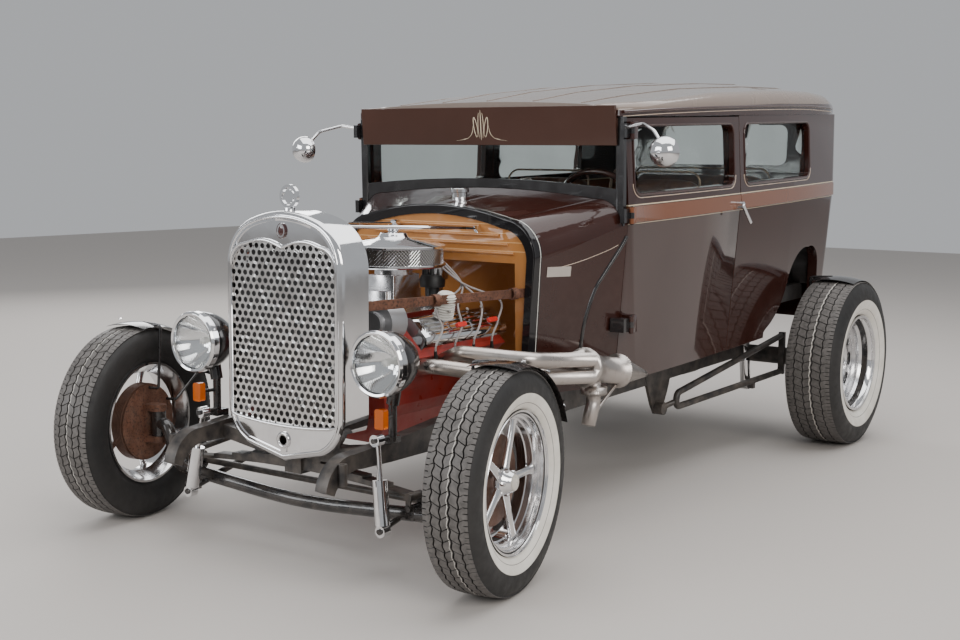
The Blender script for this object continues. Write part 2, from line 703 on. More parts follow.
# %% Heat-tinted steel
def header_finish():
    """Satin tube: a straw tint falls off with |x| from the block outwards."""
    r = Recipe("header_satin_steel")
    x = r.maths("ABSOLUTE", r.xyz()[0])
    heat = r.ramp(x, 0.24, 0.52, 0.75, 0.0)
    cloud = r.ramp(r.noise(11.0, detail=6.0), 0.3, 0.75)
    tone = r.blend(r.maths("MULTIPLY", heat, cloud), (0.50, 0.46, 0.43), (0.38, 0.27, 0.16))
    specks = r.ramp(r.noise(37.0, detail=8.0), 0.56, 0.72)
    tone = r.blend(r.maths("MULTIPLY", specks, 0.3), tone, (0.22, 0.15, 0.11))
    r.join(tone, r.shader.inputs["Base Color"])
    r.join(r.ramp(cloud, 0.0, 1.0, 0.24, 0.42), r.shader.inputs["Roughness"])
    r.set(Metallic=1.0)
    return r.mat


header_steel = header_finish()
print("finishes with the headers':", len(bpy.data.materials))

# %% [markdown]
# ## Solids that keep their own form
#
# Many pieces already have their true shape in the construction. They are given their finish, and their
# sharp edges a small radius, because a real stamped, cast or turned edge always catches a line of light.

# %% Dress the nodes
ROOF_SHARP, USUAL_SHARP = 24, 30
LOOKS = (
    # finish, width of the softened edges, nodes
    (body_paint, 0.0012, "door_left door_right quarters"),
    (cowl_paint, 0.001, "cowl"),
    (roof_paint, 0.0, "roof"),
    (visor_paint, 0.0015, "visor"),
    (dash_paint, 0.0015, "dashboard"),
    (firewall_paint, 0.0012, "firewall"),
    (black, 0.0012, "windshield_frame hinges"),
    (black, 0.0008, "front_fender_left front_fender_right rear_fenders"),
    (chassis_black, 0.001, "frame bumper_bushes radius_rods front_spring rear_axle driveline tie_rod radiator"),
    (black, 0.001, "front_axle lamp_stands"),
    (chassis_black, 0.0, "floor"),
    (rust, 0.0008, "stay_bars"),
    (rust, 0.001, "knuckle_left knuckle_right"),
    (engine_red, 0.002, "engine_block"),
    (alloy, 0.0012, "intake"),
    (cast, 0.001, "engine_drive"),
    (header_steel, 0.0, "headers"),
    (chrome, 0.0012, "valve_covers air_cleaner grille_shell headlamp_rims"),
    (chrome, 0.0012, "door_handle_left door_handle_right mirrors shocks stay_rods"),
    (amber_glass, 0.001, "marker_lamps"),
    (red_glass, 0.001, "tail_lamps"),
    (window_glass, 0.0, "cabin_glass door_glass_left door_glass_right"),
    (alloy, 0.001, "wheel_rear_left wheel_rear_right"),
)
for look, width, nodes in LOOKS:
    for node in nodes.split():
        dress(node, look, width, sharp_deg=ROOF_SHARP if node == "roof" else USUAL_SHARP)

# %% [markdown]
# ## Tyres
#
# A tyre is one profile turned about its axle, with the tread cut into it. The columns of the grid follow the
# grooves instead of crossing them: each groove has four columns, two at its edges and two on its floor, and
# all four swing together in a zigzag round the tyre. A few columns then give clean edges. The white of the
# wall is part of the rubber, so it is painted by the distance from the axle, kept as a value on each point.

# %% A tyre with ribs, shoulder blocks and a white wall
GROOVES = (-0.60, -0.20, 0.20, 0.60)
BLOCK = np.array([0.0, 0.05, 0.10, 0.30, 0.50, 0.55, 0.60, 0.80])
CUT_DEPTH, GROOVE_DEPTH, SWING = 0.0045, 0.0062, 0.0030
RIM_EDGE, BEAD_R = 0.2085, 0.1958     # radii where the wall meets the rim and where the bead sits
WALL_FROM = 0.2086


def tyre_surface(radius, width, blocks):
    """Columns (across, radius, groove, swing, first cut, second cut, shear, top), turned about the axle.

    P = (x + a z(t), r sin t, r cos t), where z is a triangle wave and t = 2 pi (k + f + shear) / blocks.
    """
    half, tread = width / 2, width / 2 * 0.82
    foot, shoulder = 0.2155, radius * 0.955 + 0.006
    middle = (foot + shoulder) / 2
    wall = []
    for t in np.linspace(-1, 1, 11):
        swell = math.sqrt(max(0.0, 1 - (t * 0.86) ** 2))
        x = half * 0.80 + half * 0.195 * (swell - 0.51) / 0.49
        wall.append((x, middle + t * (shoulder - foot) / 2, 0, 0, 0, 0, 0, 0))
    top = [(tread * share, 0, 0, cut, cut, 0, 1) for share, cut in
           ((1.0, 0.8), (0.965, 1.0), (0.86, 1.0), (0.80, 0.0))]
    for number, c in enumerate(GROOVES[::-1]):
        w = 0.0026 / tread
        shear = 0.17 if number % 2 else -0.17
        top += [(tread * (c + k * w), floor, 1, 1 - floor, 0, shear, 1 - floor)
                for k, floor in ((1, 0), (0.55, 1), (-0.55, 1), (-1, 0))]
        if c > GROOVES[0]:
            top.append((tread * (c - 0.20), 0, 0, 1, 0, 0, 1))
    top += [(-tread * share, 0, 0, cut, cut, 0, 1) for share, cut in
            ((0.80, 0.0), (0.86, 1.0), (0.965, 1.0), (1.0, 0.8))]
    drop = radius - shoulder - 0.004
    crown = [(c[0], radius - drop * 0.9 * abs(c[0] / tread) ** 3.2, *c[1:]) for c in top]
    bead = half * 0.70
    feet = [(x, r, 0, 0, 0, 0, 0, 0)
            for x, r in ((-bead, RIM_EDGE), (-bead, BEAD_R), (bead, BEAD_R), (bead, RIM_EDGE))]
    left = [(-c[0], *c[1:]) for c in wall[::-1]]
    x, r, groove, swing, cut, second, shear, upper = np.array(wall + crown + left + feet).T
    index = np.arange(blocks * len(BLOCK))
    turn = (index // len(BLOCK) + BLOCK[index % len(BLOCK)])[:, None] + shear
    wave = 4 * np.abs(turn % 1.0 - 0.5) - 1
    first_cut = (index % len(BLOCK) == 1)[:, None] * cut
    second_cut = (index % len(BLOCK) == 5)[:, None] * second
    depth = CUT_DEPTH * np.maximum(first_cut, second_cut) + GROOVE_DEPTH * groove
    x = x + wave * swing * SWING
    r = r - depth
    t = turn * 2 * math.pi / blocks
    points = np.stack([x, r * np.sin(t), r * np.cos(t)], -1).reshape(-1, 3)
    white = np.where(x > 0, r, 0.0).ravel()
    dusty = (upper * (depth < 0.001)).ravel()
    return (points, grid_faces(len(index), len(groove), True, True)), white, dusty


print("columns across a front tyre:", len(tyre_surface(0.325, 0.165, 60)[0][0]) // (60 * len(BLOCK)))


# %% Rubber, dust and the white wall
def tyre_rubber(name, white_to):
    """Black rubber, dusty on the tread's blocks, with a cream wall and a thin dark line in it."""
    r = Recipe(name)
    wall = r.add("ShaderNodeAttribute", attribute_name="wall").outputs["Fac"]
    block = r.add("ShaderNodeAttribute", attribute_name="tread").outputs["Fac"]
    slow = r.noise(5.0, detail=6.0)
    tone = r.blend(r.ramp(slow, *SPAN), (0.010, 0.010, 0.010), (0.022, 0.020, 0.019))
    grey = r.blend(r.ramp(r.noise(60.0, detail=8.0), *SPAN), (0.070, 0.064, 0.060), (0.150, 0.138, 0.130))
    tone = r.blend(r.ramp(block, 0.55, 0.95), tone, grey)
    white = r.blend(r.ramp(r.noise(17.0, detail=7.0), 0.35, 0.75), (0.78, 0.75, 0.69), (0.64, 0.60, 0.53))
    tone = r.blend(r.between(wall, WALL_FROM, white_to, 0.0005), tone, white)
    line = WALL_FROM + (white_to - WALL_FROM) * 0.40
    tone = r.blend(r.between(wall, line, line + 0.0016, 0.0003), tone, (0.10, 0.09, 0.085))
    r.join(tone, r.shader.inputs["Base Color"])
    r.join(r.ramp(r.noise(30.0, detail=6.0), *SPAN, 0.45, 0.7), r.shader.inputs["Roughness"])
    r.bump(r.noise(320.0, detail=4.0), 0.12, 0.0003)
    return r.mat


# %% Four tyres
TYRES = (
    # end of the car, outer radius, width, blocks round, edge of the white wall
    ("front", 0.325, 0.165, 60, 0.256),
    ("rear", 0.357, 0.235, 64, 0.276),
)
for end, radius, width, blocks, white_to in TYRES:
    rubber_wall = tyre_rubber("tyre_rubber_" + end, white_to)
    surface, white, dusty = tyre_surface(radius, width, blocks)
    for side_name, side in SIDES:
        node = "tyre_" + end + "_" + side_name
        part = moved(lambda p: on_wheel(p, side, end == "front"), surface)
        tyre = piece(node + "_treaded", [part], rubber_wall, frame["nodes"][node]["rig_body"], SLOT_OF[node],
                     (node,), sharp_deg=28)
        for key, values in (("wall", white), ("tread", dusty)):
            layer = tyre.data.attributes.new(key, "FLOAT", "POINT")
            layer.data.foreach_set("value", values.astype(np.float32))
    print(end, "tyre:", len(surface[1]), "faces,", blocks, "blocks round")

# %% [markdown]
# ## Front wheels
#
# The rim is polished in steps that lie deeper and deeper, and each step is one corner of a turned profile.
# Five slender spokes run out from a cone. A spoke is an oval whose two half widths change from the hub to
# the rim, set on a line that leans outwards a little.

# %% Rims, spokes, cones and brake drums
RIM_STEPS = ((0.0660, 0.2062), (0.0640, 0.2075), (0.0615, 0.2060), (0.0605, 0.2005), (0.0560, 0.1985),
             (0.0545, 0.1935), (0.0420, 0.1915), (0.0405, 0.1855), (0.0280, 0.1835), (0.0265, 0.1775),
             (0.0100, 0.1755), (0.0080, 0.1710), (-0.0200, 0.1700), (-0.0320, 0.1790), (-0.0520, 0.1900),
             (-0.0660, 0.1985), (-0.0660, 0.2062), (-0.0580, 0.2062), (-0.0560, 0.1935), (-0.0220, 0.1935),
             (-0.0160, 0.1830), (0.0160, 0.1830), (0.0220, 0.1935), (0.0560, 0.1938), (0.0580, 0.2040),
             (0.0660, 0.2062))
CONE = ((-0.0050, 0.0), (-0.0050, 0.0460), (0.0140, 0.0455), (0.0250, 0.0420), (0.0300, 0.0350),
        (0.0480, 0.0285), (0.0520, 0.0250), (0.0520, 0.0))
CAP = ((0.0515, 0.0), (0.0515, 0.0235), (0.0560, 0.0225), (0.0590, 0.0170), (0.0600, 0.0090), (0.0602, 0.0))
DRUM = [(-0.0480, 0.0175), (-0.0480, 0.1180), (-0.0460, 0.1320)]
for fin in np.linspace(-0.043, -0.012, 6):
    DRUM += [(fin, 0.1320), (fin, 0.1270), (fin + 0.0030, 0.1270), (fin + 0.0030, 0.1320)]
DRUM += [(-0.0070, 0.1320), (-0.0052, 0.1200), (-0.0052, 0.0175), (-0.0480, 0.0175)]


def spoke(angle, steps=9, sides=16):
    """An oval limb from the hub to the rim: P = C(s) + (b cos u) along the axle + (a sin u) across it."""
    s = np.linspace(0, 1, steps)[:, None]
    u = np.linspace(0, 2 * math.pi, sides, endpoint=False)[None]
    reach = 0.028 + (0.1765 - 0.028) * s + 0 * u
    flare = 0.0050 * (np.exp(-s * 9) + np.exp(-(1 - s) * 10))
    across = (0.0150 - 0.0040 * s + flare) * np.sin(u)
    depth = 0.0165 + 0.004 * s + (0.0105 - 0.0015 * s + 0.4 * flare) * np.cos(u)
    ends = lambda p: np.concatenate([p[:1].mean(1, keepdims=True).repeat(sides, 1), p,
                                     p[-1:].mean(1, keepdims=True).repeat(sides, 1)])
    depth, across, reach = ends(depth), ends(across), ends(reach)
    c, n = math.cos(angle), math.sin(angle)
    points = np.stack([depth, reach * n + across * c, reach * c - across * n], -1)
    return points.reshape(-1, 3), grid_faces(steps + 2, sides, False, True)


def five_nuts(profile, reach, first_deg):
    """Five six-sided nuts on a circle about the axle, a fifth of a turn apart."""
    turns = np.radians(first_deg + 72 * np.arange(5))
    return [lathe(profile, 6, (0, reach * math.sin(a), reach * math.cos(a))) for a in turns]


NUT = ((0.0290, 0.0), (0.0290, 0.0062), (0.0385, 0.0062), (0.0400, 0.0048), (0.0400, 0.0))
rim_alloy = finish("rim_polished", (0.78, 0.78, 0.79), 0.12, 1.0, vary=0.05, rough_vary=0.06, dust=0.35)
cap_pale = finish("cap_pale", (0.66, 0.62, 0.55), 0.3, 0.2, vary=0.08)
drum_rust = finish("drum_rusted_iron", (0.115, 0.055, 0.036), 0.55, 0.5, vary=0.3, grain=22.0,
                   worn=((0.09, 0.045, 0.03), 0.4), bump=(260, 0.4, 0.0008))
for side_name, side in SIDES:
    node = "wheel_front_" + side_name
    body = frame["nodes"][node]["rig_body"]
    at = lambda part: moved(lambda p: on_wheel(p, side, True), part)
    limbs = [at(spoke(math.radians(18 + 72 * k))) for k in range(5)]
    nuts = [at(nut) for nut in five_nuts(NUT, 0.0365, 54)]
    piece(node + "_rim", [at(lathe(RIM_STEPS, 144))], rim_alloy, body, SLOT_OF[node], (node,), sharp_deg=24)
    piece(node + "_spokes", limbs + [at(lathe(CONE, 64))] + nuts, rim_alloy, body, SLOT_OF[node])
    piece(node + "_cap", [at(lathe(CAP, 48))], cap_pale, body, SLOT_OF[node])
    piece(node + "_drum", [at(lathe(DRUM, 96))], drum_rust, body, SLOT_OF[node])
print("front wheels:", len(RIM_STEPS), "corners in a rim")

# %% [markdown]
# ## Trim of the rear wheels
#
# A bright ring lies over each rear rim, and a small black step separates it from the slotted disc. The cap
# in the middle is plated.

# %% Rings and caps
RING = ((0.0975, 0.2050), (0.0990, 0.2072), (0.0960, 0.2080), (0.0900, 0.2000), (0.0830, 0.1965),
        (0.0780, 0.1900), (0.0700, 0.1870), (0.0715, 0.1858), (0.0800, 0.1885), (0.0860, 0.1950),
        (0.0930, 0.1985), (0.0975, 0.2050))
STEP = ((0.0690, 0.1870), (0.0450, 0.1835), (0.0160, 0.1790), (0.0162, 0.1770), (0.0460, 0.1812),
        (0.0695, 0.1850), (0.0690, 0.1870))
REAR_CAP = ((0.0, 0.0), (0.0, 0.0460), (0.0060, 0.0450), (0.0090, 0.0370), (0.0190, 0.0330), (0.0250, 0.0220),
            (0.0272, 0.0100), (0.0276, 0.0))
REAR_NUT = ((-0.002, 0.0), (-0.002, 0.0098), (0.012, 0.0098), (0.015, 0.0072), (0.016, 0.0))
for side_name, side in SIDES:
    node = "wheel_rear_" + side_name
    body = frame["nodes"][node]["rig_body"]
    at = lambda part: moved(lambda p: on_wheel(p, side, False), part)
    piece(node + "_ring", [at(lathe(RING, 128)), at(lathe(REAR_CAP, 64))], chrome, body, SLOT_OF[node])
    piece(node + "_step", [at(lathe(STEP, 128))], black, body, SLOT_OF[node])
    nuts = [at(nut) for nut in five_nuts(REAR_NUT, 0.062, 36)]
    piece(node + "_nuts", nuts, chrome, body, SLOT_OF[node], sharp_deg=30)
print("rear wheels trimmed")

# %% [markdown]
# ## Perforated grille
#
# The holes of perforated sheet stand on a lattice of equal triangles, so each hole owns a six-sided cell.
# A cell is a ring of faces between its border and its round hole, on the front, in the wall of the hole and
# on the back. Cells that reach past the sheet's edge are pulled back to it, and this cuts their holes as a
# shear would.

# %% The edge of the sheet
PITCH, HOLE_R, SHEET_T = 0.0248, 0.0085, 0.0016
SHEET_Y, SHEET_LOW = -0.0677, 0.411
HOLE_STEPS = 24
SHEET_MARGIN, HOLE_MARGIN = 0.0055, 0.0110


def widened(loop, by):
    """A closed line moved outwards, each point along the normal of the chord between its neighbours."""
    chord = np.roll(loop, -1, 0) - np.roll(loop, 1, 0)
    return loop + unit(np.column_stack([chord[:, 1], -chord[:, 0]])) * by


def opening_edge(margin):
    """The outline of the shell's opening, moved outwards by a margin."""
    half, top, dip, low = 0.212, 0.972, 0.951, SHEET_LOW
    side = np.array([(half, low + 0.015), (half, 0.888)])
    corner = arc((half - 0.060, 0.892), 0.060, 0, 78, 9) + [0, 0.006]
    lobe_x = np.linspace(half - 0.062, 0.0, 17)
    lobe = np.column_stack([lobe_x, dip + (top - dip) * np.sin(np.minimum(1, lobe_x / 0.084) * math.pi / 2)
                            - 0.014 * np.clip((lobe_x - 0.084) / 0.068, 0, 1) ** 2])
    right = np.concatenate([side, corner, lobe])
    foot_x = np.linspace(-half, half, 21)[1:-1]
    foot = np.column_stack([foot_x, low + 0.015 * (foot_x / half) ** 2])
    return widened(np.concatenate([right, right[::-1][1:] * [-1, 1], foot]), margin)


def nearest_on(loop, points):
    """The nearest place on a closed line for each point: foot = A + t (B - A), t held to 0..1."""
    a, b = loop, np.roll(loop, -1, 0)
    span = b - a
    t = ((points[:, None] - a) * span).sum(-1) / np.maximum((span ** 2).sum(-1), 1e-12)
    foot = a + np.clip(t, 0, 1)[..., None] * span
    best = ((foot - points[:, None]) ** 2).sum(-1).argmin(1)
    return foot[np.arange(len(points)), best]


def inside(loop, points):
    """True inside a closed line: an odd number of its spans lies to the right."""
    a, b = loop, np.roll(loop, -1, 0)
    x, z = points[:, None, 0], points[:, None, 1]
    crosses = (a[:, 1] > z) != (b[:, 1] > z)
    rise = np.where(b[:, 1] == a[:, 1], 1e-12, b[:, 1] - a[:, 1])
    where = a[:, 0] + (z - a[:, 1]) / rise * (b[:, 0] - a[:, 0])
    return ((x < where) & crosses).sum(1) % 2 == 1


edge = opening_edge(SHEET_MARGIN)
print("points round the sheet:", len(edge))

# %% Cells of the sheet, each with its round hole
row, col = np.meshgrid(np.arange(-1, 28), np.arange(-10, 11), indexing="ij")
row_step = PITCH * math.sqrt(3) / 2
centre = np.column_stack([(col * PITCH + (row % 2) * PITCH / 2).ravel(),
                          (SHEET_LOW + 0.0108 + row * row_step).ravel()])
centre = centre[inside(opening_edge(HOLE_MARGIN), centre)]
spin = np.radians(360.0 / HOLE_STEPS * np.arange(HOLE_STEPS))
border = (PITCH / 2) / np.cos((spin + math.pi / 6) % (math.pi / 3) - math.pi / 6)
ring = np.stack([np.cos(spin), np.sin(spin)], -1)
flat = np.stack([border[:, None] * ring, HOLE_R * ring])
cells = centre[:, None, None] + flat[None]
flat_points = cells.reshape(-1, 2)
outside = ~inside(edge, flat_points)
flat_points[outside] = nearest_on(edge, flat_points[outside])
cells = flat_points.reshape(len(centre), 2, HOLE_STEPS, 2)
front = np.insert(cells, 1, SHEET_Y, axis=-1)
back = np.insert(cells[:, ::-1], 1, SHEET_Y + SHEET_T, axis=-1)
loops = np.concatenate([front, back], 1).reshape(-1, 3)
one = grid_faces(4, HOLE_STEPS, True, True)
faces = (one[None] + (np.arange(len(centre)) * 4 * HOLE_STEPS)[:, None, None]).reshape(-1, 4)
grille_alloy = finish("grille_sheet", (0.62, 0.61, 0.60), 0.24, 1.0, vary=0.08, rough_vary=0.1,
                      worn=((0.35, 0.31, 0.28), 0.3))
fixed("grille_perforated", [(loops, faces)], grille_alloy, "grille", stands_for=("grille",), sharp_deg=40)
print("grille:", len(centre), "holes,", len(faces), "faces")

# %% [markdown]
# ## Beads of the grille shell
#
# The shell's edges are rolled. A round bead follows the opening and another follows the outer edge, with a
# slightly sunk mirror field between them.

# %% Beads, hub ring and blank badge
SHELL_FACE = -0.0750
BADGE_HALF, BADGE_Z = (0.0170, 0.0230), 1.008


def shell_edge(inset):
    """The outline of the shell's front, moved inwards."""
    half, top, low = 0.240, 1.068, 0.293
    right = np.concatenate([
        three_point((0.152, low + 0.034), (half - 0.024, low + 0.084), (half, 0.452), 12),
        three_point((half, 0.900), (half - 0.036, top - 0.073), (0.128, top - 0.022), 14),
        three_point((0.128, top - 0.022), (0.0, top), (-0.128, top - 0.022), 14)[1:8]])
    foot = np.array([(0.0, low), (0.076, low + 0.017)])
    return widened(np.concatenate([right, right[::-1][1:] * [-1, 1], [(-0.076, low + 0.017)], foot]), -inset)


def three_point(a, m, b, steps):
    """Points on the circle through three points, from the first to the last; (ux, uz) is its centre."""
    (ax, az), (bx, bz), (cx, cz) = a, m, b
    d = 2 * (ax * (bz - cz) + bx * (cz - az) + cx * (az - bz))
    aa, bb, cc = ax ** 2 + az ** 2, bx ** 2 + bz ** 2, cx ** 2 + cz ** 2
    ux = (aa * (bz - cz) + bb * (cz - az) + cc * (az - bz)) / d
    uz = (aa * (cx - bx) + bb * (ax - cx) + cc * (bx - ax)) / d
    angle = lambda p: math.atan2(p[1] - uz, p[0] - ux)
    start, through, end = angle(a), angle(m), angle(b)
    sweep = (end - start) % (2 * math.pi)
    if (through - start) % (2 * math.pi) > sweep:
        sweep -= 2 * math.pi
    t = start + np.linspace(0, 1, steps) * sweep
    reach = math.hypot(ax - ux, az - uz)
    return np.stack([ux + reach * np.cos(t), uz + reach * np.sin(t)], -1)


def bead(loop, y, radius, sides=10):
    """A round bead along a closed line that faces forwards."""
    path = np.insert(loop, 1, y, axis=1)
    return tube(path, radius, sides, up=(0, 1, 0), close=True)


shell_beads = [bead(opening_edge(SHEET_MARGIN), SHELL_FACE + 0.0015, 0.0055),
               bead(shell_edge(0.0175), SHELL_FACE + 0.0025, 0.0052)]
hub_ring = lathe([(0.0, 0.0155), (-0.0035, 0.0180), (-0.0040, 0.0230), (0.0, 0.0265), (0.006, 0.0265),
                  (0.006, 0.0155), (0.0, 0.0155)], 40, (0, SHELL_FACE, 0.361), (0, 1, 0))
oval = [(-0.0030, 0.0), (-0.0028, 0.6), (-0.0010, 0.86), (-0.0034, 0.93), (-0.0034, 1.0), (0.003, 1.02),
        (0.003, 0.0)]
badge_points, badge_faces = lathe(oval, 48, (0, 0, 0), (0, 1, 0))
badge_points = badge_points * [BADGE_HALF[0], 1.0, BADGE_HALF[1]] + [0, SHELL_FACE + 0.0005, BADGE_Z]
fixed("shell_beads", shell_beads + [hub_ring], chrome, "grille_shell", sharp_deg=60)
badge_enamel = finish("badge_enamel", (0.05, 0.012, 0.010), 0.12, vary=0.1, Coat_Weight=0.9)
fixed("shell_badge", [(badge_points, badge_faces)], badge_enamel, "grille_shell")
print("beads:", len(shell_beads))

# %% [markdown]
# ## Lamps
#
# A headlamp is a hollow bullet. Inside its plated rim sits a deep bowl whose depth falls with the square of
# the distance from the middle, which is what throws parallel light. In front of it is a domed lens with
# upright flutes, and a small bulb stands in the bowl.

# %% Headlamps
LAMP = np.array([0.381, -0.094, 0.635])
BULLET = ((0.0262, 0.0880), (0.0300, 0.0930), (0.0360, 0.0960), (0.0520, 0.0962), (0.0700, 0.0935),
          (0.0920, 0.0865), (0.1120, 0.0770), (0.1300, 0.0655), (0.1440, 0.0530), (0.1560, 0.0400),
          (0.1650, 0.0260), (0.1705, 0.0120), (0.1720, 0.0), (0.1690, 0.0), (0.1600, 0.0260),
          (0.1400, 0.0500), (0.1080, 0.0740), (0.0700, 0.0900), (0.0400, 0.0925), (0.0275, 0.0865),
          (0.0262, 0.0880))
DOME = ((-0.0060, 0.0), (-0.0052, 0.0200), (-0.0026, 0.0400), (0.0018, 0.0600), (0.0072, 0.0750),
        (0.0120, 0.0852), (0.0145, 0.0852), (0.0100, 0.0760), (0.0040, 0.0600), (-0.0006, 0.0400),
        (-0.0034, 0.0200), (-0.0042, 0.0))
BOWL_R, BOWL_BACK, BOWL_DEPTH = 0.0845, 0.0880, 0.0720
bowl_r = np.linspace(BOWL_R, 0.0, 16)
bowl_face = np.column_stack([BOWL_BACK - BOWL_DEPTH * (bowl_r / BOWL_R) ** 2, bowl_r])
BOWL = np.concatenate([bowl_face, bowl_face[::-1] + [0.0016, 0.0], bowl_face[:1]])
BULB = ((0.0870, 0.0), (0.0870, 0.0090), (0.0700, 0.0090), (0.0680, 0.0120), (0.0560, 0.0130),
        (0.0480, 0.0100), (0.0440, 0.0040), (0.0435, 0.0))
SCREW = ((0.0, 0.0), (0.0, 0.0042), (0.0016, 0.0040), (0.0030, 0.0024), (0.0034, 0.0))
SCREW_REACH, SCREW_BACK = 0.0995, 0.020


def fluted_glass():
    """Clear glass with upright flutes: the bump is a sine of x."""
    r = Recipe("lamp_fluted_glass")
    r.set(Transmission_Weight=1.0, IOR=1.25)
    r.join(r.blend(r.ramp(r.noise(9.0), *SPAN), (0.97, 0.98, 0.99), (0.90, 0.91, 0.92)),
           r.shader.inputs["Base Color"])
    r.join(r.ramp(r.noise(20.0, detail=6.0), 0.4, 0.75, 0.01, 0.06), r.shader.inputs["Roughness"])
    flute = r.add("ShaderNodeTexWave", wave_type="BANDS", bands_direction="X")
    flute.inputs["Scale"].default_value = 42.0
    r.join(r.place, flute.inputs["Vector"])
    r.bump(flute.outputs["Fac"], 0.35, 0.001)
    return r.mat


flutes = fluted_glass()
mirror_chrome = finish("reflector_silver", (0.88, 0.88, 0.87), 0.05, 1.0, vary=0.03, rough_vary=0.03, dust=0.0)
bulb_white = finish("bulb_frosted", (0.86, 0.84, 0.78), 0.25, vary=0.05, dust=0.0)
for name, profile, mat, node in (("headlamp_bullets", BULLET, black, "headlamp_shells"),
                                 ("headlamp_domes", DOME, flutes, "headlamp_lenses"),
                                 ("headlamp_bowls", BOWL, mirror_chrome, None),
                                 ("headlamp_bulbs", BULB, bulb_white, None)):
    turned = lathe(profile, 96, LAMP, (0, 1, 0))
    pair = [moved(placed, turned), moved(lambda p: placed(mirrored(p)), turned)]
    piece(name, pair, mat, "chassis", SLOT_OF[node or "headlamp_rims"], (node,) if node else ())
rim_screws = []
for side in (-1, 1):
    for a in np.radians([-62, 62, 118, 242]):
        out = np.array([math.sin(a), 0.0, math.cos(a)])
        rim_screws.append(lathe(SCREW, 12, LAMP * [side, 1, 1] + [0, SCREW_BACK, 0] + SCREW_REACH * out, out))
fixed("headlamp_screws", rim_screws, chrome, "headlamp_rims")
print("headlamps:", len(BULLET), "corners in a bullet")

# %% [markdown]
# ## Beads and lines laid on the body
#
# Mouldings follow a panel that is curved both ways. A line is drawn first in a flat view from the side or
# from above, and is then dropped on to the construction along the direction of that view. Where it meets the
# panel it is lifted by a fraction of its own radius.

# %% Dropping lines on to panels
VIEW_X, VIEW_Z = 0.9, 1.8             # lines are dropped from here, beside or above the car


def surface_tree(*nodes):
    """A search tree over the triangles of some nodes."""
    points, faces, start = [], [], 0
    for node in nodes:
        mesh = frame["nodes"][node].data
        flat = np.empty(len(mesh.vertices) * 3)
        mesh.vertices.foreach_get("co", flat)
        corners = np.empty(len(mesh.loops), int)
        mesh.loops.foreach_get("vertex_index", corners)
        points.append(flat.reshape(-1, 3))
        faces.append(corners.reshape(-1, 3) + start)
        start += len(mesh.vertices)
    return BVHTree.FromPolygons(np.concatenate(points).tolist(), np.concatenate(faces).tolist())


def laid_on(tree, points, direction, lift):
    """Drops points on to a surface along a direction and lifts them along its normal; misses are left out."""
    out, normals = [], []
    for p in np.asarray(points, float):
        hit, normal = tree.ray_cast(Vector(p), Vector(direction))[:2]
        if hit is not None:
            normal = -normal if normal.dot(Vector(direction)) > 0 else normal
            out.append(np.array(hit + normal * lift))
            normals.append(np.array(normal))
    return np.array(out), np.array(normals)


def dense(loop, step=0.018, close=True):
    """A line with extra points so that none of its spans is longer than a step."""
    loop = np.asarray(loop, float)
    ahead = np.roll(loop, -1, 0) if close else loop[1:]
    out = []
    for a, b in zip(loop if close else loop[:-1], ahead):
        n = max(1, math.ceil(np.linalg.norm(b - a) / step))
        out.append(a + (b - a) * (np.arange(n) / n)[:, None])
    if not close:
        out.append(loop[-1:])
    return np.concatenate(out)


print("triangles of the roof to drop lines on:", len(frame["nodes"]["roof"].data.polygons))

# %% Beads round the windows
WINDOW_BEADS = (
    # how far outside the opening, radius, only along the lower edge
    (0.0060, 0.0034, False),
    (0.0160, 0.0018, True),
)
LOWER_PART = 0.055
cream_bead = finish("bead_cream", (0.58, 0.46, 0.36), 0.3, vary=0.08, dust=0.1, Coat_Weight=0.5)
maroon_bead = finish("bead_maroon", tuple(1.3 * c for c in MAROON), 0.16, vary=0.1, Coat_Weight=0.9)
WINDOWS = (
    # name, nodes that carry it, front, rear, low, high, corner
    ("door", "door", 1.098, 1.848, 1.112, 1.341, 0.034),
    ("quarter", "quarters", 1.958, 2.652, 1.112, 1.341, 0.034),
)
bead_count = 0
for name, carrier, y0, y1, z0, z1, corner in WINDOWS:
    middle = (y0 + y1) / 2
    for side_name, side in SIDES:
        node = carrier + "_" + side_name if carrier == "door" else carrier
        tree = surface_tree(node)
        body = frame["nodes"][node]["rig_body"]
        for (grow, radius, lower), kind, look in zip(WINDOW_BEADS, ("bead", "line"), (maroon_bead, cream_bead)):
            loop = rounded_rect(y1 - y0 + 2 * grow, z1 - z0 + 2 * grow, corner + grow, 7,
                                (middle, (z0 + z1) / 2))
            if lower:                 # start at the middle of the top, so that what is kept is one run
                top = int(np.argmax(loop[:, 1] - abs(loop[:, 0] - middle) * 0.01))
                loop = np.roll(loop, -top, 0)
                loop = loop[loop[:, 1] < z0 + LOWER_PART]
            path = raked(np.insert(dense(loop, close=not lower), 0, VIEW_X, axis=1)) * [side, 1, 1]
            on = laid_on(tree, path, (-side, 0, 0), radius * 0.25)[0]
            line = tube(on, radius, 8, up=(1, 0, 0), close=not lower)
            piece("_".join((name, "window", kind, side_name)), [line], look, body, SLOT_OF[node], sharp_deg=60)
            bead_count += 1

print("window beads and lines:", bead_count)

